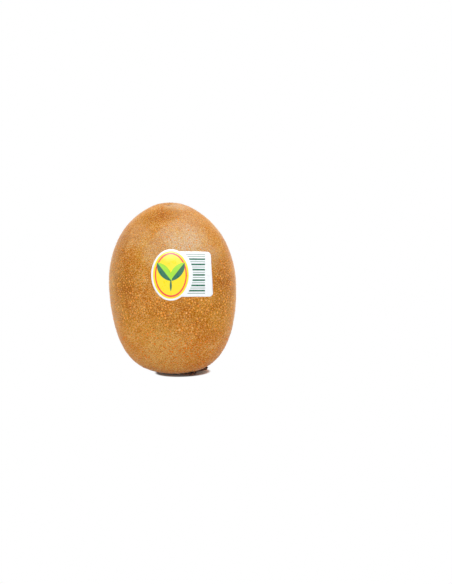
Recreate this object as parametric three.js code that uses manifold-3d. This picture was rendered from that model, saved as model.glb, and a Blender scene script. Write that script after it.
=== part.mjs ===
// Whole golden kiwi fruit, standing on its stem end.
// Millimetres, +Z up. The origin is the middle of the flat spot it rests on, and the label faces -Y.
import * as THREE from 'three';
import { mergeVertices } from 'three/addons/utils/BufferGeometryUtils.js';
import Module from 'manifold-3d';

const wasm = await Module();
wasm.setup();

// Body of the fruit
const LENGTH = 70;          // resting spot to the top of the crown
const RADIUS = 26;          // half the greatest width, along X
const DEPTH_RATIO = 0.975;  // thickness along Y over width along X
const WAIST_Z = 35.65;      // height of the greatest width
const LEAN = -1.8;          // how far the crown stands to the side of the foot, along X
const SWELL = 0.006;        // the soft three-sided swelling of the waist, as a share of the radius
const SWELL_TURN = 0.9;     // where round the fruit that swelling lies, in radians
const AROUND = 60;          // facets round the fruit

// Rings of facets up the fruit
const LOWER_RINGS = 17;
const UPPER_RINGS = 19;
const CROWN_RINGS = 9;

// Curves of the dome above the waist and of the underside below it (exponents of each)
const DOME = { top: 70.74, across: 1.756, up: 2.23 };
const UNDERSIDE = { bottom: 0.7, across: 3.3, up: 2.108 };

// Crown: a broad shallow dish with a small pit in it for the dried styles
const DISH = { radius: 6, depth: 0.7 };
const PIT = { radius: 2.4, depth: 1.3 };

// Foot: the corky stem scar, which is the flat spot
const FOOT_RADIUS = 7.2;
const FOOT_WALL_RADIUS = 7.6;

// Touching pieces stay this far apart
const GAP = 0.3;

// Label: an oval with a square tab on its right, stuck on above the waist
const LABEL = {
  thickness: 0.3,
  x: -0.6,            // middle of the oval
  z: 46.8,
  tilt: 0.237,        // the skin leans back this much there, in radians
  ovalHalfWidth: 7.7,
  ovalHalfHeight: 10.05,
  tabTop: 9.15,       // the tab's edges, from the middle of the oval
  tabBottom: -8.55,
  tabReachTop: 15.4,
  tabReachBottom: 16.4,
  tabCorner: 1.5,
  cutDepth: 34,       // how deep its outline cuts through the skin layer
};
const LABEL_CURVE_STEPS = 24; // straight pieces along each curve of its outline

// Dried sepals round the foot: direction in degrees, length and width
const SEPALS = [
  { turn: -14, length: 6, width: 6.6 },
  { turn: 58, length: 4.6, width: 6 },
  { turn: 132, length: 4.9, width: 6.4 },
  { turn: 207, length: 2.8, width: 6 },
  { turn: 304, length: 6.2, width: 7.4 },
];
const SEPAL_THICKNESS = 0.5;
const SEPAL_ROOT = 8;        // where a sepal starts, from the fruit's axis
const SEPAL_FLOOR = 0.1;     // its root lies this far above the surface below

// Edge of a sepal from one end of its root to the other, as shares of its length and width
const SEPAL_EDGE = [[0, -0.36], [0.4, -0.5], [0.82, -0.3], [1, 0.03], [0.78, 0.32], [0.38, 0.48], [0, 0.36]];
const SEPAL_EDGE_STEPS = 3;  // straight pieces between two of those places

// Dried styles: a low tuft in the pit
const TUFT = { radius: 1, edge: 0.5, height: 0.7, ribs: 9, ribDepth: 0.12 };
const TUFT_STEPS = 4;        // facets from its middle to its edge
const FACETS_PER_RIB = 4;

const WELD = 1e-4;           // vertices nearer than this are one

const SKIN = new THREE.MeshStandardMaterial({ color: 0xc48a48, roughness: 0.62, metalness: 0 });
const DRY = new THREE.MeshStandardMaterial({ color: 0x4e2f1a, roughness: 0.9, metalness: 0 });
const STYLE = new THREE.MeshStandardMaterial({ color: 0x8d5f31, roughness: 0.9, metalness: 0 });
const PAPER = new THREE.MeshStandardMaterial({ color: 0xf1f4f8, roughness: 0.35, metalness: 0 });

function dish({ radius, depth }, r) {
  return r < radius ? depth * (1 - (r / radius) ** 2) ** 2 : 0;
}

// Height of the skin above the waist, r from the axis
function upperHeight(r) {
  const share = (1 - (r / RADIUS) ** DOME.across) ** (1 / DOME.up);
  return WAIST_Z + (DOME.top - WAIST_Z) * share - dish(DISH, r) - dish(PIT, r);
}

// Height of the skin below the waist
function lowerHeight(r) {
  const share = (1 - (r / RADIUS) ** UNDERSIDE.across) ** (1 / UNDERSIDE.up);
  return WAIST_Z - (WAIST_Z - UNDERSIDE.bottom) * share;
}

// Half section from the middle of the foot to the middle of the crown
function fruitProfile() {
  const points = [new THREE.Vector2(0, 0), new THREE.Vector2(FOOT_RADIUS / 2, 0)];
  points.push(new THREE.Vector2(FOOT_RADIUS, 0));
  const start = Math.asin(FOOT_WALL_RADIUS / RADIUS);
  for (let i = 0; i < LOWER_RINGS; i++) {
    const r = RADIUS * Math.sin(start + (Math.PI / 2 - start) * i / LOWER_RINGS);
    points.push(new THREE.Vector2(r, lowerHeight(r)));
  }
  const end = Math.asin(DISH.radius / RADIUS);
  for (let i = 0; i < UPPER_RINGS; i++) {
    const r = RADIUS * Math.sin(Math.PI / 2 + (end - Math.PI / 2) * i / UPPER_RINGS);
    points.push(new THREE.Vector2(r, upperHeight(r)));
  }
  for (let i = 0; i < CROWN_RINGS; i++) {
    const r = DISH.radius * (1 - i / CROWN_RINGS);
    points.push(new THREE.Vector2(r, upperHeight(r)));
  }
  points.push(new THREE.Vector2(0, upperHeight(0)));
  return points;
}

// Position only, with shared vertices joined
function welded(geometry) {
  geometry.deleteAttribute('normal');
  geometry.deleteAttribute('uv');
  return mergeVertices(geometry, WELD);
}

// Round the fruit: swell, oval section and lean
function shapeBody(geometry) {
  const position = geometry.attributes.position;
  const p = new THREE.Vector3();
  for (let i = 0; i < position.count; i++) {
    p.fromBufferAttribute(position, i);
    const waist = Math.sin(Math.PI * THREE.MathUtils.clamp(p.z / LENGTH, 0, 1));
    const swell = 1 + SWELL * waist * Math.sin(3 * Math.atan2(p.y, p.x) + SWELL_TURN);
    position.setXYZ(i, p.x * swell + LEAN * p.z / LENGTH, p.y * swell * DEPTH_RATIO, p.z);
  }
}

function fruitGeometry() {
  const lathe = new THREE.LatheGeometry(fruitProfile(), AROUND);
  lathe.rotateX(Math.PI / 2);
  const geometry = welded(lathe);
  shapeBody(geometry);
  return geometry;
}

// The fruit grown outward by an even distance
function grownFruit(distance) {
  const geometry = fruitGeometry();
  geometry.computeVertexNormals();
  const position = geometry.attributes.position;
  const normal = geometry.attributes.normal;
  for (let i = 0; i < position.count; i++) {
    position.setXYZ(
      i,
      position.getX(i) + normal.getX(i) * distance,
      position.getY(i) + normal.getY(i) * distance,
      position.getZ(i) + normal.getZ(i) * distance,
    );
  }
  geometry.deleteAttribute('normal');
  return geometry;
}

function toSolid(geometry) {
  return new wasm.Manifold(new wasm.Mesh({
    numProp: 3,
    vertProperties: new Float32Array(geometry.attributes.position.array),
    triVerts: new Uint32Array(geometry.index.array),
  }));
}

function toGeometry(solid) {
  const { vertProperties, triVerts } = solid.getMesh();
  const geometry = new THREE.BufferGeometry();
  geometry.setAttribute('position', new THREE.BufferAttribute(vertProperties, 3));
  geometry.setIndex(new THREE.BufferAttribute(triVerts, 1));
  geometry.computeVertexNormals();
  return geometry;
}

// The label's die-cut outline, with the oval's middle at (0, 0)
function labelOutline() {
  const { ovalHalfWidth, ovalHalfHeight, tabTop, tabBottom, tabReachTop, tabReachBottom, tabCorner } = LABEL;
  const topMeet = Math.asin(tabTop / ovalHalfHeight);
  const bottomMeet = 2 * Math.PI + Math.asin(tabBottom / ovalHalfHeight);
  const outline = new THREE.Shape();
  outline.absellipse(0, 0, ovalHalfWidth, ovalHalfHeight, topMeet, bottomMeet, false, 0);
  outline.absarc(tabReachBottom - tabCorner, tabBottom + tabCorner, tabCorner, -Math.PI / 2, 0, false);
  outline.absarc(tabReachTop - tabCorner, tabTop - tabCorner, tabCorner, 0, Math.PI / 2, false);
  return outline;
}

// A thin layer that follows the skin inside the label's outline
function labelGeometry() {
  const cutter = new THREE.ExtrudeGeometry(labelOutline(), {
    depth: LABEL.cutDepth,
    bevelEnabled: false,
    curveSegments: LABEL_CURVE_STEPS,
  });
  cutter.rotateX(Math.PI / 2 - LABEL.tilt);
  cutter.translate(LABEL.x, 0, LABEL.z - RADIUS * Math.tan(LABEL.tilt));
  const outer = toSolid(grownFruit(GAP + LABEL.thickness));
  const inner = toSolid(grownFruit(GAP));
  return toGeometry(outer.subtract(inner).intersect(toSolid(welded(cutter))));
}

// A dried sepal: a blunt blade that lies along the underside and curls up with it
function sepalGeometry({ length, width }) {
  const edge = SEPAL_EDGE.map(([along, across]) => new THREE.Vector2(along * length, across * width));
  const blade = new THREE.Shape();
  blade.moveTo(edge[0].x, edge[0].y);
  blade.splineThru(edge.slice(1));
  blade.closePath();
  const geometry = welded(new THREE.ExtrudeGeometry(blade, {
    depth: SEPAL_THICKNESS,
    bevelEnabled: false,
    curveSegments: SEPAL_EDGE_STEPS,
  }));
  const position = geometry.attributes.position;
  const headroom = lowerHeight(SEPAL_ROOT) - SEPAL_FLOOR;
  for (let i = 0; i < position.count; i++) {
    const x = position.getX(i) + SEPAL_ROOT;
    const skin = lowerHeight(Math.hypot(x, position.getY(i))) - headroom;
    position.setXYZ(i, x, position.getY(i), position.getZ(i) + Math.max(skin, SEPAL_FLOOR));
  }
  return geometry;
}

// A low ribbed dome whose underside follows the floor of the pit
function tuftGeometry() {
  const points = [];
  for (let i = 0; i <= TUFT_STEPS; i++) {
    const r = TUFT.radius * i / TUFT_STEPS;
    points.push(new THREE.Vector2(r, upperHeight(r) - upperHeight(0)));
  }
  for (let i = 0; i <= TUFT_STEPS; i++) {
    const angle = Math.PI / 2 * i / TUFT_STEPS;
    const r = i === TUFT_STEPS ? 0 : TUFT.radius * Math.cos(angle);
    points.push(new THREE.Vector2(r, TUFT.edge + (TUFT.height - TUFT.edge) * Math.sin(angle)));
  }
  const lathe = new THREE.LatheGeometry(points, TUFT.ribs * FACETS_PER_RIB);
  lathe.rotateX(Math.PI / 2);
  const geometry = welded(lathe);
  const position = geometry.attributes.position;
  for (let i = 0; i < position.count; i++) {
    const x = position.getX(i);
    const y = position.getY(i);
    const rib = 1 - TUFT.ribDepth * (1 + Math.cos(TUFT.ribs * Math.atan2(y, x))) / 2;
    position.setXYZ(i, x * rib, y * rib, position.getZ(i));
  }
  return geometry;
}

function namedMesh(name, geometry, material) {
  const mesh = new THREE.Mesh(geometry, material);
  mesh.name = name;
  return mesh;
}

const fruit = new THREE.Group();
fruit.add(namedMesh('kiwi_fruit', fruitGeometry(), SKIN));
fruit.add(namedMesh('fruit_label', labelGeometry(), PAPER));

SEPALS.forEach((sepal, i) => {
  const mesh = namedMesh(`sepal_${i + 1}`, sepalGeometry(sepal), DRY);
  mesh.rotation.z = THREE.MathUtils.degToRad(sepal.turn);
  fruit.add(mesh);
});

const tuft = namedMesh('style_tuft', tuftGeometry(), STYLE);
const pitFloor = upperHeight(0);
tuft.position.set(LEAN * pitFloor / LENGTH, 0, pitFloor + GAP);
fruit.add(tuft);

export default fruit;
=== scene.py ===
"""A whole golden kiwi fruit standing on its stem end, dressed around its CAD frame.

Metres, +Z up, the label faces -Y. Small lengths are written in millimetres times MM.
"""

import math

import bmesh
import bpy
import numpy as np
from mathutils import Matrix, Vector, noise
from mathutils.bvhtree import BVHTree


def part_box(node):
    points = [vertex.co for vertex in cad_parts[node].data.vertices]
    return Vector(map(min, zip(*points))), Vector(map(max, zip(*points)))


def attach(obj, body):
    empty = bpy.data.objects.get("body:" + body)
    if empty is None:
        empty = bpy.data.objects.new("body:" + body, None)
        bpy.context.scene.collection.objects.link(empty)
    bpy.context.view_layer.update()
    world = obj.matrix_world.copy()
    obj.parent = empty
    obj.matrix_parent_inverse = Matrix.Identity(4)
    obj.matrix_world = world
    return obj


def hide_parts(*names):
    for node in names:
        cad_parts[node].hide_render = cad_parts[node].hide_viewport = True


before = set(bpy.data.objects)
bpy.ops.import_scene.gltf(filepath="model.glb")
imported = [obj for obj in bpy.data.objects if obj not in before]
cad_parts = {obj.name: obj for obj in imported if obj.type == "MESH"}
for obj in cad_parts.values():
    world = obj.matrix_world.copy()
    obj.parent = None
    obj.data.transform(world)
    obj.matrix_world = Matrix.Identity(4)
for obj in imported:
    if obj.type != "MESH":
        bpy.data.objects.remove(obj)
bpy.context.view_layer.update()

MM = 0.001
RANDOM = np.random.default_rng(11)


def srgb(red, green, blue):
    """Linear colour of an 8-bit screen colour."""
    def linear(value):
        share = value / 255
        return share / 12.92 if share <= 0.04045 else ((share + 0.055) / 1.055) ** 2.4
    return (linear(red), linear(green), linear(blue), 1.0)


# The fruit, read from the frame
FRUIT_LOW, FRUIT_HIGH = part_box("kiwi_fruit")
HEIGHT = FRUIT_HIGH.z
HALF_WIDTH = (FRUIT_HIGH.x - FRUIT_LOW.x) / 2
MIDDLE = Vector((0, 0, HEIGHT / 2))

# Rounding off of the CAD facets
WELD = 0.001 * MM
MOST_FOLD, MOST_SKEW = 0.3, 1.2     # radians, in two triangles that are joined to a quad
ROUNDING_LEVELS = 2

# Skin mesh
SKIN_CELLS = 126                    # squares along each edge of the cube that the mesh starts from
RELAX_PASSES = 3
SWELL_HEIGHT, SWELL_SIZE = 0.16 * MM, 15 * MM
DIMPLE_HEIGHT, DIMPLE_SIZE = 0.045 * MM, 4 * MM
GRAIN_HEIGHT, GRAIN_SIZE = 0.016 * MM, 1.1 * MM
SKIN_INSET = 0.12 * MM              # leaves the freckles and the down some room in the CAD outline
CROWN_INSET = 0.1 * MM              # further room at the crown
CROWN_INSET_HEIGHTS = (56 * MM, 68 * MM)
FOOT_RADIUS = 7.6 * MM              # the corky stem scar
FOOT_KEPT = 1.1                     # the skin stays smooth to this many foot radii

# Noises that colour the skin: sizes of their features, and depths of those that dent it
BROAD_SIZE = 19 * MM
WAVE_SIZE = 9 * MM
CLOUD_SIZE = 6 * MM
MOTTLE_SIZE, MOTTLE_DEPTH = 1.8 * MM, 0.05 * MM
SPECK_SIZE, SPECK_DEPTH = 0.42 * MM, 0.035 * MM
FLECK_SIZE = 0.34 * MM
FLECK_SHIFT = (0.31, 0.17, 0.23)    # takes the flecks off the pattern of the specks

# Colours of the skin
OCHRE, AMBER = srgb(200, 133, 18), srgb(188, 110, 8)
PALE_CLOUD = srgb(206, 150, 44)
PALE_MOTTLE, DARK_MOTTLE = srgb(214, 162, 74), srgb(176, 100, 6)
PALE_SPECK, DARK_SPECK = srgb(218, 174, 98), srgb(160, 80, 0)
# The scurf is paler in the dust and painted highlight patches, where its flecks are partly painted
# glints
SCURF, DUST_AND_GLINT_SCURF = srgb(230, 190, 128), srgb(216, 196, 168)
DARK_CORK, PALE_CORK = srgb(70, 44, 26), srgb(122, 84, 52)
CORK_HEIGHTS = (3 * MM, 1.2 * MM)   # the cork sets in between these heights and these radii
CORK_RADII = (9 * MM, 7.2 * MM)

# Soft patches of the skin: a linear colour, and for each its middle and reach in millimetres and
# its strength
PATCH_RAGGED = 1.1                  # how far its edge wanders, as a share of its reach
PATCH_CORE = 0.35                   # where it is full, as a share of its reach
# Straw patches: pale skin, and low at the front painted light that bounces up from the floor
STRAW_AND_BOUNCE = (0.68, 0.4, 0.115, 1.0)
STRAW_AND_BOUNCE_PATCHES = [
    ((-3, -22, 14), 15, 0.55),
    ((-8, 23, 30), 14, 0.35),
    ((-20, 12, 18), 12, 0.3),
    ((-12, -17, 9), 9, 0.5),
]

# Pale patches, partly dust with many fine pale flecks and partly painted highlight and sheen
# Painted light among them: the broad highlight above the label and round it, the lit top of the crown
# and the pale sheen down the left side
DUST_AND_HIGHLIGHT = (0.57, 0.45, 0.3, 1.0)
DUST_AND_HIGHLIGHT_STRENGTH = 0.6
DUST_AND_HIGHLIGHT_COVER = 0.75                   # how much of the dark mottle and specks it hides
DUST_AND_HIGHLIGHT_PATCHES = [
    ((6, -17, 59), 13.5, 0.92),
    ((-5, -20, 55), 9, 0.5),
    ((14, -15, 53), 9, 0.6),
    ((-14, -13, 60), 9, 0.35),
    ((1, -2, 71), 8, 0.7),
    ((6, -11, 65), 9, 0.4),
    ((-25, -7, 44), 12, 0.35),
    ((-24, -8, 31), 12, 0.35),
    ((-21, -8, 57), 8, 0.3),
    ((-6, 20, 58), 13, 0.6),
]

# Deep patches, which tint all that lies under them: partly russet skin, and partly painted shade down
# the left and right sides and in a band under the crown's top
RUSSET_AND_SHADE = (0.78, 0.66, 0.34, 1.0)
DEEP_AND_SHADE_PATCHES = [
    ((-21.5, -8, 55), 8, 0.4),
    ((-8, -9.5, 66.5), 7, 0.8),
    ((-1, -9, 67.8), 6, 0.65),
    ((-16, -18.5, 46), 9, 0.35),
    ((-21, -14, 44), 13, 0.5),
    ((-20, -16, 33), 13, 0.6),
    ((20, -15, 46), 11, 0.6),
    ((21, -13, 36), 12, 0.8),
    ((8, -24, 32), 10, 0.55),
    ((-4, -25, 29), 10, 0.4),
    ((17, -16, 25), 13, 0.5),
    ((12, 18, 55), 15, 0.45),
    ((20, 10, 20), 14, 0.35),
]

# Raised freckles
FRECKLES = 6800                     # at most: the least spacing may stop it short
FRECKLE_TRIES = 6                   # random points for each of them
FRECKLE_SPACING = 0.92 * MM
FRECKLE_SIDES = 7
FRECKLE_RADIUS = 0.275              # the middle one, in millimetres
FRECKLE_SPREAD = 0.33               # of the logarithm of the radius
FRECKLE_RADII = (0.14, 0.5)         # the least and the most, in millimetres
FRECKLE_RISE = (0.14, 0.26)         # height over radius
FRECKLE_STRETCH = (1.0, 1.35)
FRECKLE_WOBBLE = (0.85, 1.15)       # of the radius from corner to corner
FRECKLE_RINGS = ((1.0, -0.25), (0.62, 0.72))    # shares of the radius and of the height
CROWN_HEIGHTS = (44 * MM, 54 * MM)  # the freckles get finer between these heights
CROWN_FINER = 0.27                  # by this share of the radius
RED_FRECKLE, GOLD_FRECKLE = srgb(212, 110, 10), srgb(222, 134, 26)
PALE_FRECKLE, ODD_FRECKLE = srgb(240, 170, 76), srgb(240, 194, 132)
GOLD_SETS_IN = (44 * MM, 56 * MM)   # heights, as are the next two
PALE_SETS_IN = (15 * MM, 28 * MM)
PALE_FADES = (54 * MM, 42 * MM)

# Down
HAIRS = 42000
HAIR_REACH = (0.2, 0.5)             # how far a hair lies along the skin, in millimetres
HAIR_RISE = (0.25, 0.8)             # how far it stands up over how far it lies along
HAIR_HALF_WIDTH = (0.014, 0.024)    # at its root, in millimetres
HAIR_DEPTH = 1.6                    # depth over half width
HAIR_ROOT = 0.03 * MM               # how deep it starts
HAIR_COMB = (0.25, 0.0, 1.0)        # the way that the hairs are combed
HAIR_COMBED = 0.9                   # and how strongly

# Bare skin: gap to the label, and height and radius (over the foot's) of the bare stretch at the foot
FRECKLE_BARE = (0.3 * MM, 2 * MM, 1.4)
HAIR_BARE = (0.5 * MM, 2.5 * MM, 1.6)

# Label, in its own plane, which leans back with the skin
LABEL_TILT = 0.237                  # radians
LABEL_OVAL_SHARE = 7.7 / 10.05      # half width of the oval over its half height
LABEL_TAB_TOP = 9.15 / 10.05        # edges of the tab, over the half height of the oval
LABEL_TAB_BOTTOM = -8.55 / 10.05
LABEL_TAB_SLANT = 1.0 * MM          # how much less far the tab reaches at its top than at its bottom
LABEL_CORNER = 1.5 * MM
LABEL_THICKNESS = 0.13 * MM
LABEL_BEVEL = 0.06 * MM
LABEL_LIFT = 0.03 * MM              # off the skin
LABEL_EDGE_LIFT = 0.05 * MM
LABEL_EDGE_REACH = 1.2 * MM
LABEL_RIPPLE, LABEL_RIPPLE_SIZE = 0.02 * MM, 5 * MM
LABEL_HUB = 0.45                    # middle of the mesh's rings, in half widths of the oval
LABEL_AROUND, LABEL_RINGS = 360, 34
LABEL_CROWDING = 0.9                # under 1 the rings crowd towards the edge
LABEL_LAID_FROM = 60 * MM           # how far in front of its plane the skin is looked for
HALVINGS = 40                       # in the search for the outline

# Print of the label, in millimetres from the middle of its oval
PRINT_SOFTNESS = 0.09
PAPER, YELLOW = srgb(243, 246, 250), srgb(255, 228, 0)
LIME, GREEN, RED = srgb(160, 222, 40), srgb(18, 108, 78), srgb(246, 62, 58)
LABEL_RIM = 0.75                    # white edge round the yellow oval
RING_INSET, RING_WIDTH = 1.75, 0.5  # the inset is that of its middle line
LEAF_PLACE, LEAF_SIZE = (2.5, 1.2), (4.6, 2.0)      # its middle, and half its length and width
LEAF_LEAN = 38                      # degrees off upright
STALK_PLACE, STALK_SIZE = (0.0, -4.1), (2.4, 0.4)
STRIPE_GAP = 0.85                   # from the oval to the left ends of the stripes
STRIPE_END = 13.2                   # their right ends
STRIPE_MIDDLE, STRIPE_REACH = 0.35, 7.7         # middle and half height of all of them together
STRIPE_REPEAT = 2.05                # one thick and one thin stripe
THICK_STRIPE, THIN_STRIPE = 0.66, 0.34
THIN_STRIPE_STRENGTH = 0.7

# Dried sepals
SEPALS = 5
SEPAL_ROWS, SEPAL_COLUMNS = 30, 34
SEPAL_FULL_LENGTH = 5 * MM          # a shorter sepal is thinner and lies closer
SEPAL_THICKNESS, SEPAL_UNEVEN = 0.3 * MM, 0.16 * MM
SEPAL_THINNING = 0.7                # at the sides
SEPAL_DROP = 0.14 * MM              # how far it hangs below the skin, without the next three
SEPAL_CRINKLE = 0.2 * MM
SEPAL_FOLD = 0.4 * MM
SEPAL_HANG = 1.5 * MM               # at a loose tip
SEPAL_GAP = 0.03 * MM               # least gap to the skin
SEPAL_LEAST_HEIGHTS = (0.2 * MM, 0.02 * MM)     # of its upper and of its under side over the floor
SEPAL_LAID_FROM = 10 * MM           # how far under the floor the skin is looked for

# Dried styles
STYLES, STYLE_STEPS, STYLE_SIDES = 26, 8, 5
STYLE_SCATTER = 0.4                 # in shares of the angle between two threads
STYLE_REACH = (0.55, 1.0)           # in shares of the CAD tuft's radius
STYLE_RISE = (0.15, 0.35)           # in shares of its height
STYLE_CURL = 0.9                    # the most turn from root to tip, in radians
STYLE_ROOT = 0.1 * MM               # height of the root over the tuft's bottom, without its rise
STYLE_RADII = (0.11 * MM, 0.04 * MM)        # at the root and at the tip

# Light: a dim even room with soft patches, and two softboxes, with sizes in metres and power in watts
ROOM_LEVEL = 0.3
ROOM_PATCHES = [
    # direction, half angle in degrees, strength
    ((0.0, 0.0, 1.0), 40, 1.75),
    ((0.0, 0.8, 0.6), 35, 1.1),
    ((0.0, -0.8, 0.6), 35, 0.36),
]
ROOM_PATCH_FADE = (1.4, 0.6)        # where a patch starts and is full, as shares of its half angle
SOFTBOX_DISTANCE = 0.8              # from the middle of the fruit
KEY_DIRECTION, KEY_SIZE, KEY_POWER = (0.5, -0.2, 0.83), (0.4, 0.4), 0.5
GLOSS_DIRECTION, GLOSS_SIZE, GLOSS_POWER = (0.28, -0.33, 0.88), (1.0, 0.4), 42.0

# Floor: it shows its shadow near the fruit, and is plain white further out
FLOOR_HALF = 6.0
FLOOR_COLOUR = srgb(243, 243, 243)          # for light that bounces off it
SHADOW_COLOUR = srgb(250, 218, 194)         # where the camera sees its shadow
SHADOW_WHITE = 0.04                 # how much plain white is mixed in there
SHADOW_MIDDLE = (3.1 * MM, -2.2 * MM)
SHADOW_REACH = (11.0 * MM, 6.8 * MM)
SHADOW_SLANT = 0.25                 # how far it leans to the right towards the back
SHADOW_EDGE = (0.93, 1.07)          # where it fades, as shares of its reach

# Camera
CAMERA_RAISE = math.radians(14)
CAMERA_DISTANCE = 0.6
CAMERA_LENS, CAMERA_SENSOR = 90.6, 36
AIM_RIGHT, AIM_DOWN = 20.95, 1.5    # from the middle of the fruit, in millimetres


# ---------------------------------------------------------------- mesh helpers

def mesh_object(name, vertices, faces):
    mesh = bpy.data.meshes.new(name)
    mesh.from_pydata([tuple(v) for v in vertices], [], [tuple(f) for f in faces])
    mesh.update()
    mesh.shade_smooth()
    obj = bpy.data.objects.new(name, mesh)
    bpy.context.scene.collection.objects.link(obj)
    return obj


def node_corners(node):
    """Places of the corners of a CAD node."""
    return np.array([v.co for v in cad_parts[node].data.vertices])


def set_float_attribute(obj, name, values):
    attribute = obj.data.attributes.new(name, "FLOAT", "POINT")
    attribute.data.foreach_set("value", np.asarray(values, np.float32))


def unit(vectors):
    return vectors / np.linalg.norm(vectors, axis=-1, keepdims=True)


def vertex_normals(mesh):
    normals = np.empty(len(mesh.vertices) * 3, np.float32)
    mesh.vertex_normals.foreach_get("vector", normals)
    return normals.reshape(-1, 3).astype(float)


def side_axes(normals):
    """Two unit vectors square to each normal, turned at random about it."""
    helper = np.where(np.abs(normals[:, 2:3]) < 0.9, [[0.0, 0.0, 1.0]], [[1.0, 0.0, 0.0]])
    first = unit(np.cross(helper, normals))
    second = np.cross(normals, first)
    turn = RANDOM.uniform(0, 2 * math.pi, (len(normals), 1))
    return (
        first * np.cos(turn) + second * np.sin(turn),
        second * np.cos(turn) - first * np.sin(turn),
    )


def rise_between(values, low, high):
    """0 up to the low value, 1 from the high one, and straight between them."""
    return np.clip((values - low) / (high - low), 0, 1)


def wavy(*place):
    """Smooth noise at three coordinates."""
    return noise.noise(Vector(place))


def repeated(points_per_copy, template_faces):
    """Faces of many copies of one template whose vertices follow each other."""
    copies, count = points_per_copy.shape[:2]
    faces = []
    for i in range(copies):
        start = i * count
        faces.extend([tuple(start + k for k in face) for face in template_faces])
    return points_per_copy.reshape(-1, 3), faces


# ---------------------------------------------------------------- material helpers

class Graph:
    """Short calls for building the nodes of a material or of the world."""

    def __init__(self, owner):
        owner.use_nodes = True
        self.owner = owner
        self.tree = owner.node_tree
        self.tree.nodes.clear()
        where = self.node("ShaderNodeTexCoord").outputs
        self.place, self.direction = where["Object"], where["Generated"]

    def node(self, kind, inputs=None, **settings):
        made = self.tree.nodes.new(kind)
        for key, value in settings.items():
            setattr(made, key, value)
        for key, value in (inputs or {}).items():
            self.feed(made.inputs[key], value)
        return made

    def feed(self, socket, value):
        if isinstance(value, bpy.types.NodeSocket):
            self.tree.links.new(value, socket)
        elif value is not None:
            socket.default_value = value

    def math(self, operation, first, second=None, third=None):
        inputs = {0: first, 1: second, 2: third}
        return self.node("ShaderNodeMath", inputs, operation=operation).outputs[0]

    def remap(self, value, low, high, to_low=0.0, to_high=1.0):
        inputs = {"Value": value, "From Min": low, "From Max": high, "To Min": to_low, "To Max": to_high}
        made = self.node("ShaderNodeMapRange", inputs, interpolation_type="SMOOTHSTEP")
        return made.outputs["Result"]

    def noise(self, size, detail=2.0, roughness=0.5, distortion=0.0, place=None):
        """Noise whose features are about size metres across."""
        inputs = {
            "Vector": place or self.place,
            "Scale": 1 / size,
            "Detail": detail,
            "Roughness": roughness,
            "Distortion": distortion,
        }
        return self.node("ShaderNodeTexNoise", inputs).outputs["Fac"]

    def mix(self, share, first, second, blend="MIX"):
        made = self.node("ShaderNodeMix", data_type="RGBA", blend_type=blend)
        self.feed(made.inputs[0], share)
        self.feed(made.inputs[6], first)
        self.feed(made.inputs[7], second)
        return made.outputs[2]

    def attribute(self, name):
        return self.node("ShaderNodeAttribute", attribute_name=name).outputs["Fac"]

    def axes(self, vector=None):
        return self.node("ShaderNodeSeparateXYZ", {0: vector or self.place}).outputs

    def sum(self, *values):
        total = values[0]
        for value in values[1:]:
            total = self.math("ADD", total, value)
        return total

    def product(self, *values):
        total = values[0]
        for value in values[1:]:
            total = self.math("MULTIPLY", total, value)
        return total

    def length(self, x, y):
        return self.math("SQRT", self.sum(self.product(x, x), self.product(y, y)))

    def bump(self, height, distance, strength=1.0, normal=None):
        inputs = {"Height": height, "Distance": distance, "Strength": strength, "Normal": normal}
        return self.node("ShaderNodeBump", inputs).outputs["Normal"]

    def seen(self):
        """1 where the camera sees a thing itself, mirrored or through glass, and 0 elsewhere."""
        paths = self.node("ShaderNodeLightPath").outputs
        seen = self.math("MAXIMUM", paths["Is Camera Ray"], paths["Is Glossy Ray"])
        return self.math("MAXIMUM", seen, paths["Is Transmission Ray"])

    def finish(self, **inputs):
        named = {key.replace("_", " "): value for key, value in inputs.items()}
        shader = self.node("ShaderNodeBsdfPrincipled", named)
        output = self.node("ShaderNodeOutputMaterial")
        self.tree.links.new(shader.outputs[0], output.inputs["Surface"])
        return self.owner


def material_graph(name):
    return Graph(bpy.data.materials.new(name))


# ---------------------------------------------------------------- skin

def rounded_cad_surface(node):
    """Search tree of a CAD node whose facets are rounded off by subdivision."""
    grid = bmesh.new()
    grid.from_mesh(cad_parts[node].data)
    bmesh.ops.remove_doubles(grid, verts=grid.verts, dist=WELD)
    bmesh.ops.join_triangles(
        grid, faces=grid.faces, angle_face_threshold=MOST_FOLD, angle_shape_threshold=MOST_SKEW
    )
    mesh = bpy.data.meshes.new("rounding")
    grid.to_mesh(mesh)
    grid.free()
    obj = bpy.data.objects.new("rounding", mesh)
    bpy.context.scene.collection.objects.link(obj)
    modifier = obj.modifiers.new("round", "SUBSURF")
    modifier.levels = ROUNDING_LEVELS
    tree = BVHTree.FromObject(obj, bpy.context.evaluated_depsgraph_get())
    bpy.data.objects.remove(obj)
    bpy.data.meshes.remove(mesh)
    return tree


def cube_sphere(cells):
    """Unit vectors and quads of a cube's grid blown up into a sphere."""
    ticks = np.tan(np.linspace(-math.pi / 4, math.pi / 4, cells + 1))
    u, v = np.meshgrid(ticks, ticks, indexing="ij")
    one = np.ones_like(u)
    sides = [
        (one, u, v), (-one, v, u), (v, one, u), (u, -one, v), (u, v, one), (v, u, -one),
    ]
    points = np.concatenate([np.stack(side, -1).reshape(-1, 3) for side in sides])
    points = unit(points)
    _, first, where = np.unique(np.round(points, 6), axis=0, return_index=True, return_inverse=True)
    where = where.reshape(-1)
    corner = np.arange((cells + 1) ** 2).reshape(cells + 1, cells + 1)
    quads = np.stack(
        [corner[:-1, :-1], corner[1:, :-1], corner[1:, 1:], corner[:-1, 1:]], -1
    ).reshape(-1, 4)
    faces = np.concatenate([quads + k * corner.size for k in range(6)])
    return points[first], where[faces]


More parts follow.
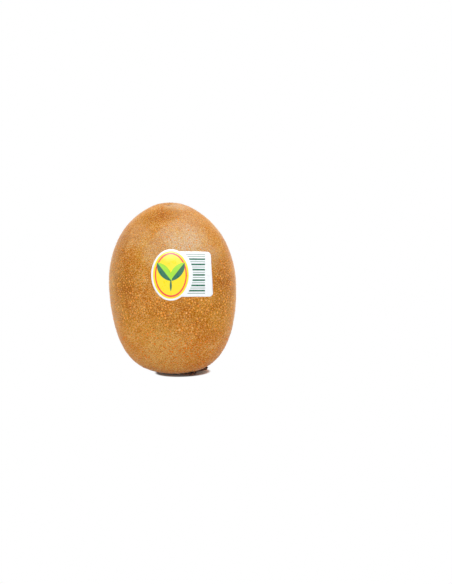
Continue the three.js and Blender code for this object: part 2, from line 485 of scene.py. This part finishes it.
def relaxed(points, faces, passes):
    """Points moved towards the average of their neighbours, to even out the grid."""
    edges = np.concatenate([faces[:, [k, (k + 1) % 4]] for k in range(4)])
    for _ in range(passes):
        total = np.zeros_like(points)
        count = np.zeros(len(points))
        for a, b in ((0, 1), (1, 0)):
            np.add.at(total, edges[:, a], points[edges[:, b]])
            np.add.at(count, edges[:, a], 1)
        points = points * 0.5 + 0.5 * total / count[:, None]
    return points


def make_skin():
    """The CAD fruit's form as a fine even grid, with soft swells and dimples and a smooth foot."""
    surface = rounded_cad_surface("kiwi_fruit")
    directions, faces = cube_sphere(SKIN_CELLS)
    stretched = unit(directions * [HALF_WIDTH, HALF_WIDTH, HEIGHT / 2])
    points = np.array([surface.ray_cast(MIDDLE, Vector(d))[0] for d in stretched])
    points = relaxed(points, faces, RELAX_PASSES)
    skin = mesh_object("skin", points, faces)
    normals = vertex_normals(skin.data)
    if np.mean(np.sum(normals * directions, 1)) < 0:
        skin.data.flip_normals()
        normals = -normals
    lift = np.array([unevenness(Vector(point)) for point in points]) - SKIN_INSET
    crown = rise_between(points[:, 2], *CROWN_INSET_HEIGHTS)
    lift -= CROWN_INSET * crown ** 2 * (3 - 2 * crown)     # eased in at both ends
    reach = np.hypot(points[:, 0], points[:, 1])
    lift[(reach < FOOT_RADIUS * FOOT_KEPT) & (points[:, 2] < HEIGHT / 2)] = 0
    points = points + normals * lift[:, None]
    points[:, 2] = np.maximum(points[:, 2], 0)
    skin.data.vertices.foreach_set("co", points.astype(np.float32).ravel())
    skin.data.update()
    return skin


def unevenness(place):
    """How far the skin stands out: swells, dimples and fine grain."""
    return (
        SWELL_HEIGHT * noise.noise(place / SWELL_SIZE)
        + DIMPLE_HEIGHT * noise.noise(place / DIMPLE_SIZE + Vector((5, 0, 0)))
        + GRAIN_HEIGHT * noise.fractal(place / GRAIN_SIZE, 0.8, 2.1, 3)
    )


def patch_share(g, wave, middle, reach, share):
    """How strongly a ragged round patch shows."""
    inputs = {0: g.place, 1: Vector(middle) * MM}
    away = g.node("ShaderNodeVectorMath", inputs, operation="DISTANCE").outputs["Value"]
    ragged = g.sum(away, g.product(g.sum(wave, -0.5), reach * PATCH_RAGGED * MM))
    return g.remap(ragged, reach * MM, reach * PATCH_CORE * MM, 0.0, share)


def dust_and_highlight_share(g, wave):
    """How dusty or brightened by painted highlight the skin is: as much as the strongest of its pale
    patches.
    """
    dust_and_highlight = patch_share(g, wave, *DUST_AND_HIGHLIGHT_PATCHES[0])
    for patch in DUST_AND_HIGHLIGHT_PATCHES[1:]:
        dust_and_highlight = g.math("MAXIMUM", dust_and_highlight, patch_share(g, wave, *patch))
    return dust_and_highlight


def fleck_share(g, cloud, dust_and_highlight):
    """How strongly fine pale flecks show, which are thickest in dust, in painted highlight and in pale
    clouds.
    """
    shifted = g.node("ShaderNodeVectorMath", {0: g.place, 1: FLECK_SHIFT}).outputs[0]
    fleck = g.noise(FLECK_SIZE, detail=1, place=shifted)
    thick = g.math("MAXIMUM", g.remap(cloud, 0.46, 0.66, 0.3, 0.8), dust_and_highlight)
    start = g.sum(g.product(dust_and_highlight, -0.05), 0.56)     # there are more of them in dust and painted highlight
    return g.product(g.remap(fleck, start, 0.62), thick)


def cork_share(g):
    """How strongly the corky stem scar shows."""
    x, y, z = g.axes()
    return g.product(g.remap(z, *CORK_HEIGHTS), g.remap(g.length(x, y), *CORK_RADII))


def skin_material():
    """Golden brown with soft patches, mottle, fine specks and pale flecks, and cork at the foot. Some
    patches are painted highlight, sheen, shade and floor bounce.
    """
    g = material_graph("kiwi_skin")
    broad = g.noise(BROAD_SIZE, distortion=0.3)
    wave = g.noise(WAVE_SIZE)
    cloud = g.noise(CLOUD_SIZE, detail=3, roughness=0.55)
    mottle = g.noise(MOTTLE_SIZE)
    speck = g.noise(SPECK_SIZE, roughness=0.55)
    dust_and_highlight = dust_and_highlight_share(g, wave)
    free_of_dust_and_highlight = g.sum(g.product(dust_and_highlight, -DUST_AND_HIGHLIGHT_COVER), 1.0)
    colour = g.mix(g.remap(broad, 0.36, 0.64), OCHRE, AMBER)
    # Straw skin, and painted floor bounce low at the front
    for patch in STRAW_AND_BOUNCE_PATCHES:
        colour = g.mix(patch_share(g, wave, *patch), colour, STRAW_AND_BOUNCE)
    # Dust, and painted highlight and sheen, in the pale patches
    colour = g.mix(g.product(dust_and_highlight, DUST_AND_HIGHLIGHT_STRENGTH), colour, DUST_AND_HIGHLIGHT)
    tints = [
        # noise, levels where the tint sets in and is full, strength, colour
        (cloud, 0.48, 0.72, 0.45, PALE_CLOUD),
        (mottle, 0.5, 0.72, 0.45, PALE_MOTTLE),
        (mottle, 0.48, 0.3, 0.4, DARK_MOTTLE),
        (speck, 0.51, 0.66, 0.85, PALE_SPECK),
        (speck, 0.5, 0.35, 0.9, DARK_SPECK),
    ]
    for level, start, full, strength, tint in tints:
        share = g.remap(level, start, full, 0.0, strength)
        if full < start:    # a dark tint, which dust and painted highlight hide
            share = g.product(share, free_of_dust_and_highlight)
        colour = g.mix(share, colour, tint)
    # Pale flecks: scurf, and in the painted highlight partly painted glints
    colour = g.mix(fleck_share(g, cloud, dust_and_highlight), colour, g.mix(dust_and_highlight, SCURF, DUST_AND_GLINT_SCURF))
    # Russet skin, and painted shade at the sides and under the crown's top
    for patch in DEEP_AND_SHADE_PATCHES:
        colour = g.mix(patch_share(g, wave, *patch), colour, RUSSET_AND_SHADE, "MULTIPLY")
    colour = g.mix(cork_share(g), colour, g.mix(speck, DARK_CORK, PALE_CORK))
    normal = g.bump(mottle, MOTTLE_DEPTH, 0.7)
    normal = g.bump(speck, SPECK_DEPTH, 0.8, normal)
    return g.finish(
        Base_Color=colour,
        Roughness=g.remap(speck, 0.3, 0.7, 0.45, 0.57),
        Normal=normal,
        Specular_IOR_Level=0.04,
        Sheen_Weight=0.32,
        Sheen_Roughness=0.3,
    )


# ---------------------------------------------------------------- label outline

def label_plane():
    """Right, up and outward vectors of the label's plane."""
    right = np.array([1.0, 0.0, 0.0])
    up = np.array([0.0, math.sin(LABEL_TILT), math.cos(LABEL_TILT)])
    out = np.array([0.0, -math.cos(LABEL_TILT), math.sin(LABEL_TILT)])
    return right, up, out


class LabelShape:
    """The die-cut outline, sized from the CAD label and centred on its oval."""

    def __init__(self):
        right, up, _ = label_plane()
        corners = node_corners("fruit_label")
        across, along = corners @ right, corners @ up
        self.half_height = (along.max() - along.min()) / 2
        self.half_width = self.half_height * LABEL_OVAL_SHARE
        self.tab_top = self.half_height * LABEL_TAB_TOP
        self.tab_bottom = self.half_height * LABEL_TAB_BOTTOM
        self.centre_across = across.min() + self.half_width
        self.centre_along = (along.max() + along.min()) / 2
        self.tab_reach = across.max() - self.centre_across

    def radius(self, angle, hub):
        """Distance from the hub, a point on the middle line, to the outline."""
        step = np.array([math.cos(angle), math.sin(angle)])
        low, high = 0.0, self.tab_reach * 2
        for _ in range(HALVINGS):
            middle = (low + high) / 2
            inside = self.inside(hub + step[0] * middle, step[1] * middle)
            low, high = (middle, high) if inside else (low, middle)
        return low

    def squared(self, across, along):
        """Places across with the slant of the tab's far edge taken out."""
        share = (along - self.tab_bottom) / (self.tab_top - self.tab_bottom)
        return across + LABEL_TAB_SLANT * share

    def inside(self, across, along):
        oval = (across / self.half_width) ** 2 + (along / self.half_height) ** 2 < 1
        corner_x = np.maximum(self.squared(across, along) - (self.tab_reach - LABEL_CORNER), 0)
        above = along - (self.tab_top - LABEL_CORNER)
        below = self.tab_bottom + LABEL_CORNER - along
        corner_y = np.maximum(np.maximum(above, below), 0)
        tab = (across > 0) & (np.hypot(corner_x, corner_y) < LABEL_CORNER)
        return oval | tab

    def notch(self, edge, hub):
        """Direction from the hub to where an edge of the tab meets the oval."""
        across = self.half_width * math.sqrt(1 - (edge / self.half_height) ** 2)
        return math.atan2(edge, across - hub) % (2 * math.pi)

    def covers(self, points, margin):
        """Which points of the skin lie under the label or within margin of it."""
        right, up, out = label_plane()
        across = points @ right - self.centre_across
        along = points @ up - self.centre_along
        wide, high = self.half_width + margin, self.half_height + margin
        oval = (across / wide) ** 2 + (along / high) ** 2 < 1
        tab = (across > 0) & (self.squared(across, along) < self.tab_reach + margin)
        tab &= (along < self.tab_top + margin) & (along > self.tab_bottom - margin)
        return (oval | tab) & (points @ out > 0)


# ---------------------------------------------------------------- freckles and down

def sample_skin(skin, count):
    """Random points on the skin, evenly by area, with their normals."""
    mesh = skin.data
    co = np.empty(len(mesh.vertices) * 3, np.float32)
    mesh.vertices.foreach_get("co", co)
    co = co.reshape(-1, 3).astype(float)
    quads = np.empty(len(mesh.polygons) * 4, np.int32)
    mesh.polygons.foreach_get("vertices", quads)
    quads = quads.reshape(-1, 4)
    a, b, c, d = (co[quads[:, k]] for k in range(4))
    area = np.linalg.norm(np.cross(c - a, d - b), axis=1)
    picked = RANDOM.choice(len(quads), count, p=area / area.sum())
    u, v = RANDOM.random((2, count, 1))
    weights = [(1 - u) * (1 - v), u * (1 - v), u * v, (1 - u) * v]
    normals = vertex_normals(mesh)
    points = sum(w * co[quads[picked, k]] for k, w in enumerate(weights))
    directions = unit(sum(w * normals[quads[picked, k]] for k, w in enumerate(weights)))
    return points, directions


def spaced(points, spacing, wanted):
    """Indices of points kept in turn, none nearer to another than the spacing."""
    cells, kept = {}, []
    keys = np.floor(points / spacing).astype(int)
    for i, (x, y, z) in enumerate(keys):
        near = (
            j
            for dx in (-1, 0, 1) for dy in (-1, 0, 1) for dz in (-1, 0, 1)
            for j in cells.get((x + dx, y + dy, z + dz), ())
        )
        if all(np.sum((points[i] - points[j]) ** 2) > spacing ** 2 for j in near):
            cells.setdefault((x, y, z), []).append(i)
            kept.append(i)
            if len(kept) == wanted:
                break
    return np.array(kept)


def off_label_and_foot(points, label, gap, foot_height, foot_share):
    """Which points are neither near the label nor at the foot."""
    reach = np.hypot(points[:, 0], points[:, 1])
    foot = (points[:, 2] < foot_height) & (reach < FOOT_RADIUS * foot_share)
    return ~label.covers(points, gap) & ~foot


def freckle_template():
    """Faces of one freckle: two rings, a point on top and one underneath."""
    n = FRECKLE_SIDES
    faces = []
    for k in range(n):
        after = (k + 1) % n
        faces.append((k, after, n + after, n + k))
        faces.append((n + k, n + after, 2 * n))
        faces.append((after, k, 2 * n + 1))
    return faces


def make_freckles(skin, label):
    """Low domes on the skin, each with a random tone for its colour."""
    points, normals = sample_skin(skin, FRECKLES * FRECKLE_TRIES)
    free = off_label_and_foot(points, label, *FRECKLE_BARE)
    points, normals = points[free], normals[free]
    kept = spaced(points, FRECKLE_SPACING, FRECKLES)
    points, normals = points[kept], normals[kept]
    count = len(points)
    first, second = side_axes(normals)
    radius = RANDOM.lognormal(math.log(FRECKLE_RADIUS), FRECKLE_SPREAD, (count, 1))
    radius = np.clip(radius, *FRECKLE_RADII) * MM
    radius = radius * (1 - CROWN_FINER * rise_between(points[:, 2:3], *CROWN_HEIGHTS))
    height = radius * RANDOM.uniform(*FRECKLE_RISE, (count, 1))
    stretch = RANDOM.uniform(*FRECKLE_STRETCH, (count, 1))
    rings = []
    for share, level in FRECKLE_RINGS:
        for k in range(FRECKLE_SIDES):
            angle = 2 * math.pi * k / FRECKLE_SIDES
            wobble = RANDOM.uniform(*FRECKLE_WOBBLE, (count, 1))
            side = first * math.cos(angle) * stretch + second * math.sin(angle)
            rings.append(points + side * radius * share * wobble + normals * height * level)
    rings.append(points + normals * height)
    rings.append(points - normals * height)
    vertices, faces = repeated(np.stack(rings, 1), freckle_template())
    freckles = mesh_object("freckles", vertices, faces)
    tone = RANDOM.random(count)
    set_float_attribute(freckles, "tone", np.repeat(tone, len(rings)))
    return freckles


def freckle_material():
    """Pale orange round the middle of the fruit, deeper towards its ends, and a few odd pale ones."""
    g = material_graph("kiwi_freckle")
    tone = g.attribute("tone")
    z = g.axes()[2]
    middle = g.product(g.remap(z, *PALE_SETS_IN), g.remap(z, *PALE_FADES))
    pale = g.product(g.sum(g.product(middle, 0.9), 0.1), g.sum(g.product(tone, 0.55), 0.45))
    deep = g.mix(g.remap(z, *GOLD_SETS_IN), RED_FRECKLE, GOLD_FRECKLE)
    colour = g.mix(pale, deep, PALE_FRECKLE)
    colour = g.mix(g.remap(tone, 0.94, 0.98, 0.0, 0.5), colour, ODD_FRECKLE)
    return g.finish(
        Base_Color=colour,
        Roughness=0.6,
        Normal=g.bump(g.noise(0.2 * MM), 0.02 * MM, 0.5),
        Specular_IOR_Level=0.05,
        Sheen_Weight=0.2,
        Sheen_Roughness=0.3,
    )


def make_down(skin, label):
    """Short straight hairs that lie half flat, each a closed three-sided spike."""
    points, normals = sample_skin(skin, HAIRS)
    free = off_label_and_foot(points, label, *HAIR_BARE)
    points, normals = points[free], normals[free]
    count = len(points)
    first, _ = side_axes(normals)
    comb = np.array(HAIR_COMB)
    comb = comb - normals * (normals @ comb)[:, None]
    lean = unit(first + comb * HAIR_COMBED)
    side = np.cross(normals, lean)
    reach = RANDOM.uniform(*HAIR_REACH, (count, 1)) * MM
    half = RANDOM.uniform(*HAIR_HALF_WIDTH, (count, 1)) * MM
    rise = RANDOM.uniform(*HAIR_RISE, (count, 1))
    base = points - normals * HAIR_ROOT
    tip = points + (normals * rise + lean) * reach
    corners = [base + side * half, base - side * half, base + normals * half * HAIR_DEPTH, tip]
    spike = [(1, 0, 3), (0, 2, 3), (2, 1, 3), (0, 1, 2)]
    vertices, faces = repeated(np.stack(corners, 1), spike)
    return mesh_object("down", vertices, faces)


def down_material():
    """Pale straw-coloured hairs."""
    g = material_graph("kiwi_down")
    colour = g.mix(g.noise(2 * MM), srgb(216, 178, 132), srgb(248, 226, 192))
    return g.finish(Base_Color=colour, Roughness=0.6, Specular_IOR_Level=0.3)


# ---------------------------------------------------------------- label

def label_grid(shape):
    """Points of the label's plane in rings round a hub, and their gaps to the edge along the spokes."""
    hub = shape.half_width * LABEL_HUB
    angles = np.linspace(0, 2 * math.pi, LABEL_AROUND, endpoint=False)
    for edge in (shape.tab_top, shape.tab_bottom):
        corner = shape.notch(edge, hub)
        angles[np.argmin(np.abs(angles - corner))] = corner
    reach = np.array([shape.radius(angle, hub) for angle in angles])
    plane, gaps = [(hub, 0.0)], [reach.max()]
    for share in np.linspace(0, 1, LABEL_RINGS + 1)[1:] ** LABEL_CROWDING:
        for angle, r in zip(angles, reach):
            plane.append((hub + math.cos(angle) * r * share, math.sin(angle) * r * share))
            gaps.append((1 - share) * r)
    return np.array(plane), np.array(gaps)


def label_sides(skin_tree, shape, plane, gaps):
    """Upper and under side of the label, laid on the skin with a slightly loose edge."""
    right, up, out = label_plane()
    top, under = [], []
    for (across, along), gap in zip(plane, gaps):
        place = right * (across + shape.centre_across) + up * (along + shape.centre_along)
        hit, normal, _, _ = skin_tree.ray_cast(Vector(place + out * LABEL_LAID_FROM), Vector(-out))
        ripple = noise.noise(Vector((across, along, 0)) / LABEL_RIPPLE_SIZE)
        loose = math.exp(-gap / LABEL_EDGE_REACH) * (0.6 + ripple)
        lift = LABEL_LIFT + LABEL_EDGE_LIFT * loose + LABEL_RIPPLE * ripple
        bevel = LABEL_THICKNESS / 2 * math.exp(-gap / LABEL_BEVEL)
        top.append(hit + normal * (lift + LABEL_THICKNESS - bevel))
        under.append(hit + normal * (lift / 2))
    return top, under


def label_faces(count):
    """Faces over the rings of the upper side, the under side count points later, and the edge."""
    faces = []
    for k in range(LABEL_AROUND):
        after = (k + 1) % LABEL_AROUND
        faces.append((0, 1 + k, 1 + after))
        faces.append((count, count + 1 + after, count + 1 + k))
        for ring in range(LABEL_RINGS - 1):
            a = 1 + ring * LABEL_AROUND
            b = a + LABEL_AROUND
            faces.append((a + k, b + k, b + after, a + after))
            faces.append((count + a + after, count + b + after, count + b + k, count + a + k))
        last = 1 + (LABEL_RINGS - 1) * LABEL_AROUND
        faces.append((last + k, count + last + k, count + last + after, last + after))
    return faces


def make_label(skin_tree, shape):
    """A thin die-cut label on the skin, whose UV is its place in the print."""
    plane, gaps = label_grid(shape)
    top, under = label_sides(skin_tree, shape, plane, gaps)
    label = mesh_object("label", top + under, label_faces(len(top)))
    layer = label.data.uv_layers.new(name="print")
    both = np.concatenate([plane, plane]) / MM
    loops = np.empty(len(label.data.loops), np.int32)
    label.data.loops.foreach_get("vertex_index", loops)
    layer.data.foreach_set("uv", both[loops].astype(np.float32).ravel())
    return label


def label_material(shape):
    """A yellow oval with a pair of leaves in a red ring, and a striped tab. UV is in millimetres."""
    g = material_graph("label_print")
    uv = g.node("ShaderNodeUVMap", uv_map="print").outputs[0]
    u, v, _ = g.axes(uv)

    def mask(distance):
        return g.remap(distance, PRINT_SOFTNESS / 2, -PRINT_SOFTNESS / 2)

    def band(value, half_width):
        """Distance outside a band about zero."""
        return g.sum(g.math("ABSOLUTE", value), -half_width)

    def oval(margin):
        """Rough distance outside an oval that stands out from the label's by a margin."""
        half_width = shape.half_width / MM + margin
        half_height = shape.half_height / MM + margin
        x = g.math("DIVIDE", u, half_width)
        y = g.math("DIVIDE", v, half_height)
        return g.product(g.sum(g.length(x, y), -1.0), half_width)

    def leaf(place, turn, size):
        """Distance outside a pointed leaf, and the side of its midrib."""
        half_length, half_width = size
        cos, sin = math.cos(turn), math.sin(turn)
        du, dv = g.sum(u, -place[0]), g.sum(v, -place[1])
        along = g.sum(g.product(du, cos), g.product(dv, sin))
        across = g.sum(g.product(dv, cos), g.product(du, -sin))
        curve = (half_length ** 2 + half_width ** 2) / (2 * half_width)
        offset = g.sum(g.math("ABSOLUTE", across), curve - half_width)
        return g.sum(g.length(along, offset), -curve), across

    def stripes(middle, width):
        """Level stripes of one width, one in each repeat of the pattern."""
        place = g.math("WRAP", g.sum(v, -middle), STRIPE_REPEAT / 2, -STRIPE_REPEAT / 2)
        return mask(band(place, width / 2))

    colour = g.mix(mask(oval(-LABEL_RIM)), PAPER, YELLOW)
    colour = g.mix(mask(band(oval(-RING_INSET), RING_WIDTH / 2)), colour, RED)
    for side in (1, -1):
        place = (side * LEAF_PLACE[0], LEAF_PLACE[1])
        distance, across = leaf(place, math.radians(90 - side * LEAF_LEAN), LEAF_SIZE)
        tone = g.mix(mask(g.product(across, float(side))), LIME, GREEN)
        colour = g.mix(mask(distance), colour, tone)
    stalk, _ = leaf(STALK_PLACE, math.radians(90), STALK_SIZE)
    colour = g.mix(mask(stalk), colour, GREEN)
    clear = g.product(oval(STRIPE_GAP), -1.0)
    panel = g.product(mask(clear), mask(g.sum(u, -STRIPE_END)))
    panel = g.product(panel, mask(band(g.sum(v, -STRIPE_MIDDLE), STRIPE_REACH)))
    colour = g.mix(g.product(panel, stripes(0.0, THICK_STRIPE)), colour, GREEN)
    thin = g.product(panel, stripes(STRIPE_REPEAT / 2, THIN_STRIPE), THIN_STRIPE_STRENGTH)
    colour = g.mix(thin, colour, GREEN)
    paper = g.noise(1.5 * MM, 3)
    return g.finish(
        Base_Color=colour,
        Roughness=g.remap(paper, 0.3, 0.7, 0.26, 0.36),
        Normal=g.bump(paper, 0.03 * MM, 0.3),
        Specular_IOR_Level=0.5,
        Coat_Weight=0.25,
        Coat_Roughness=0.15,
    )


# ---------------------------------------------------------------- sepals and styles

def sepal_spread(s):
    """Half width of a blade over its widest, at s from root to tip: soon broad, and round at the tip."""
    return (0.68 + 0.34 * math.sin(math.pi * min(s * 1.5, 1))) * (1 - s ** 5) ** 0.4


def sepal_drop(s, t, seed):
    """How far a blade hangs below the skin, at s from root to tip and t from side to side."""
    crinkle = noise.fractal(Vector((s * 4, t * 4.5, seed * 1.7)), 0.7, 2.1, 4)
    fold = abs(math.sin(4.4 * t + 0.9 * math.sin(4 * s + seed))) * (0.4 + 0.6 * s)
    hang = s * s * max(0.1 + wavy(t * 2.6, seed * 3.1, s), 0)
    return SEPAL_DROP + SEPAL_CRINKLE * crinkle + SEPAL_FOLD * fold + SEPAL_HANG * hang


def sepal_thickness(s, t, seed):
    """Thickness of a blade, which thins towards its sides."""
    middle = SEPAL_THICKNESS + SEPAL_UNEVEN * wavy(s * 5, t * 6, seed + 9)
    return middle * (1 - SEPAL_THINNING * abs(t) ** 6)


def sepal_faces():
    """Faces over the upper side of a blade, its under side and its edge."""
    rows, columns = SEPAL_ROWS, SEPAL_COLUMNS
    width = columns + 1
    count = (rows + 1) * width
    faces = []
    for i in range(rows):
        for j in range(columns):
            a = i * width + j
            faces.append((a, a + width, a + width + 1, a + 1))
            faces.append((count + a + 1, count + a + width + 1, count + a + width, count + a))
    border = list(range(width))
    border += [i * width + columns for i in range(1, rows + 1)]
    border += [rows * width + j for j in range(columns - 1, -1, -1)]
    border += [i * width for i in range(rows - 1, 0, -1)]
    for k, a in enumerate(border):
        b = border[(k + 1) % len(border)]
        faces.append((a, b, count + b, count + a))
    return faces


def make_sepal(node, skin_tree, seed):
    """A dried, crinkled blade where the CAD sepal lies, close under the fruit."""
    corners = node_corners(node)
    middle = corners.mean(0)
    turn = math.atan2(middle[1], middle[0])
    ahead = np.array([math.cos(turn), math.sin(turn)])
    side = np.array([-math.sin(turn), math.cos(turn)])
    along, across = corners[:, :2] @ ahead, corners[:, :2] @ side
    root, tip = along.min(), along.max()
    half = (across.max() - across.min()) / 2
    shift = (across.max() + across.min()) / 2
    slack = min((tip - root) / SEPAL_FULL_LENGTH, 1.0)
    top, under = [], []
    for s in np.arange(SEPAL_ROWS + 1) / SEPAL_ROWS:
        spread = half * sepal_spread(s)
        for t in 2 * np.arange(SEPAL_COLUMNS + 1) / SEPAL_COLUMNS - 1:
            tear = 0.16 * wavy(t * 4.5, 0, seed) + 0.1 * wavy(t * 11, 1, seed)
            x = root + (tip - root) * s * (0.94 + tear)
            y = shift + spread * t * (1 + 0.14 * wavy(s * 4, seed, t))
            place = ahead * x + side * y
            below = Vector((*place, -SEPAL_LAID_FROM))
            hit, _, _, _ = skin_tree.ray_cast(below, Vector((0, 0, 1)))
            drop = max(sepal_drop(s, t, seed) * slack ** 2, SEPAL_GAP)
            thick = sepal_thickness(s, t, seed) * slack
            high = max(hit.z - drop, SEPAL_LEAST_HEIGHTS[0])
            top.append((*place, high))
            under.append((*place, max(high - thick, SEPAL_LEAST_HEIGHTS[1])))
    return mesh_object(node + "_dried", top + under, sepal_faces())


def sepal_material():
    """Dark dry fibres with paler streaks."""
    g = material_graph("dried_sepal")
    fibre = g.noise(0.6 * MM, 4, 0.65, 0.6)
    colour = g.mix(g.remap(fibre, 0.34, 0.56), srgb(52, 26, 12), srgb(96, 50, 20))
    colour = g.mix(g.remap(fibre, 0.52, 0.7), colour, srgb(186, 108, 34))
    return g.finish(
        Base_Color=colour,
        Roughness=0.8,
        Normal=g.bump(fibre, 0.12 * MM, 0.9),
        Sheen_Weight=0.2,
    )


def style_faces(start):
    """Faces of one thread whose points begin at start: its side, and its two ends."""
    faces = []
    for i in range(STYLE_STEPS):
        for m in range(STYLE_SIDES):
            a, after = start + i * STYLE_SIDES, (m + 1) % STYLE_SIDES
            b = a + STYLE_SIDES
            faces.append((a + m, a + after, b + after, b + m))
    faces.append(tuple(start + m for m in reversed(range(STYLE_SIDES))))
    faces.append(tuple(start + STYLE_STEPS * STYLE_SIDES + m for m in range(STYLE_SIDES)))
    return faces


def make_styles():
    """Dry curled threads that spring from the bottom of the crown's pit."""
    low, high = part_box("style_tuft")
    centre = (low + high) / 2
    reach = (high.x - low.x) / 2
    up = np.array([0, 0, 1])
    root_radius, tip_radius = STYLE_RADII
    bundle, faces = [], []
    for k in range(STYLES):
        turn = 2 * math.pi * (k + RANDOM.uniform(-STYLE_SCATTER, STYLE_SCATTER)) / STYLES
        spread = reach * RANDOM.uniform(*STYLE_REACH)
        rise = (high.z - low.z) * RANDOM.uniform(*STYLE_RISE)
        curl = RANDOM.uniform(-STYLE_CURL, STYLE_CURL)
        faces.extend(style_faces(len(bundle)))
        for s in np.arange(STYLE_STEPS + 1) / STYLE_STEPS:
            angle = turn + curl * s * s
            out = spread * (0.15 + 0.85 * s)
            spine = np.array([
                centre.x + math.cos(angle) * out,
                centre.y + math.sin(angle) * out,
                low.z + STYLE_ROOT + rise * math.sin(math.pi * (0.15 + 0.6 * s)),
            ])
            radius = root_radius + (tip_radius - root_radius) * s
            flat = np.array([-math.sin(angle), math.cos(angle), 0.0])
            for m in range(STYLE_SIDES):
                a = 2 * math.pi * m / STYLE_SIDES
                bundle.append(spine + flat * math.cos(a) * radius + up * math.sin(a) * radius)
    return mesh_object("styles", bundle, faces)


def style_material():
    """Dull dry brown threads."""
    g = material_graph("dried_style")
    colour = g.mix(g.noise(0.5 * MM, 3), srgb(92, 58, 28), srgb(168, 118, 66))
    return g.finish(Base_Color=colour, Roughness=0.75, Normal=g.bump(g.noise(0.15 * MM), 0.03 * MM))


# ---------------------------------------------------------------- stage, lights, camera

def make_floor():
    """A floor that shows its shadow near the fruit and is plain white further out."""
    sides = ((-1, -1), (1, -1), (1, 1), (-1, 1))
    corners = [(x * FLOOR_HALF, y * FLOOR_HALF, 0) for x, y in sides]
    floor = mesh_object("floor", corners, [(0, 1, 2, 3)])
    g = material_graph("floor_white")
    x, y, _ = g.axes()
    seen = g.seen()
    along = g.sum(y, -SHADOW_MIDDLE[1])
    across = g.sum(x, -SHADOW_MIDDLE[0], g.product(along, -SHADOW_SLANT))
    away = g.length(g.product(across, 1 / SHADOW_REACH[0]), g.product(along, 1 / SHADOW_REACH[1]))
    far = g.product(g.remap(away, *SHADOW_EDGE, SHADOW_WHITE, 1.0), seen)
    shade = g.mix(seen, FLOOR_COLOUR, SHADOW_COLOUR)
    plain = g.node("ShaderNodeBsdfDiffuse", {"Color": shade}).outputs[0]
    white = g.node("ShaderNodeEmission", {"Color": (1, 1, 1, 1), "Strength": 1.0}).outputs[0]
    both = g.node("ShaderNodeMixShader", {0: far, 1: plain, 2: white}).outputs[0]
    g.node("ShaderNodeOutputMaterial", {"Surface": both})
    floor.data.materials.append(g.owner)


def make_world():
    """A dim room with soft patches of light, plain white where the camera sees it."""
    world = bpy.data.worlds.new("studio")
    bpy.context.scene.world = world
    g = Graph(world)
    level = ROOM_LEVEL
    for direction, half_angle, strength in ROOM_PATCHES:
        inputs = {0: g.direction, 1: Vector(direction).normalized()}
        toward = g.node("ShaderNodeVectorMath", inputs, operation="DOT_PRODUCT").outputs["Value"]
        edge, full = (math.cos(math.radians(half_angle * share)) for share in ROOM_PATCH_FADE)
        level = g.sum(level, g.remap(toward, edge, full, 0.0, strength))
    dim = g.node("ShaderNodeBackground", {"Color": (1, 1, 1, 1), "Strength": level}).outputs[0]
    white = g.node("ShaderNodeBackground", {"Color": (1, 1, 1, 1), "Strength": 1.0}).outputs[0]
    both = g.node("ShaderNodeMixShader", {0: g.seen(), 1: dim, 2: white}).outputs[0]
    g.node("ShaderNodeOutputWorld", {"Surface": both})


def make_softbox(name, direction, size, power):
    lamp = bpy.data.lights.new(name, "AREA")
    lamp.shape = "RECTANGLE"
    lamp.size, lamp.size_y = size
    lamp.energy = power
    obj = bpy.data.objects.new(name, lamp)
    bpy.context.scene.collection.objects.link(obj)
    toward = Vector(direction).normalized()
    obj.location = MIDDLE + toward * SOFTBOX_DISTANCE
    obj.rotation_euler = toward.to_track_quat("Z", "Y").to_euler()
    return obj


def make_softboxes():
    """A weak key light, and a broad one that shows only in the gloss."""
    make_softbox("key_softbox", KEY_DIRECTION, KEY_SIZE, KEY_POWER)
    gloss = make_softbox("gloss_softbox", GLOSS_DIRECTION, GLOSS_SIZE, GLOSS_POWER)
    gloss.visible_diffuse = False


def make_camera():
    """A raised studio view from the front, with the fruit left of the middle."""
    camera = bpy.data.cameras.new("camera")
    camera.lens = CAMERA_LENS
    camera.sensor_width = CAMERA_SENSOR
    obj = bpy.data.objects.new("camera", camera)
    bpy.context.scene.collection.objects.link(obj)
    up = Vector((0, math.sin(CAMERA_RAISE), math.cos(CAMERA_RAISE)))
    back = Vector((0, -math.cos(CAMERA_RAISE), math.sin(CAMERA_RAISE)))
    aim = MIDDLE + Vector((AIM_RIGHT, 0, 0)) * MM - up * AIM_DOWN * MM
    obj.location = aim + back * CAMERA_DISTANCE
    obj.rotation_euler = back.to_track_quat("Z", "Y").to_euler()
    bpy.context.scene.camera = obj


# ---------------------------------------------------------------- assembly

def dress(piece, material, slot, *replaced):
    """Gives a piece its material and its part in the frame."""
    piece.data.materials.append(material)
    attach(piece, "root")
    if replaced:
        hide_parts(*replaced)


def tree_of(obj):
    """Search tree of an object's faces."""
    mesh = obj.data
    return BVHTree.FromPolygons([v.co for v in mesh.vertices], [p.vertices for p in mesh.polygons])


def build_fruit():
    skin = make_skin()
    skin_tree = tree_of(skin)
    label_shape = LabelShape()
    dress(skin, skin_material(), "skin", "kiwi_fruit")
    dress(make_freckles(skin, label_shape), freckle_material(), "skin")
    dress(make_down(skin, label_shape), down_material(), "skin")
    dress(make_label(skin_tree, label_shape), label_material(label_shape), "label", "fruit_label")
    dried = sepal_material()
    for k in range(1, SEPALS + 1):
        node = f"sepal_{k}"
        dress(make_sepal(node, skin_tree, k), dried, "sepal", node)
    dress(make_styles(), style_material(), "style", "style_tuft")


build_fruit()
make_floor()
make_world()
make_softboxes()
make_camera()
bpy.context.scene.view_settings.view_transform = "Standard"
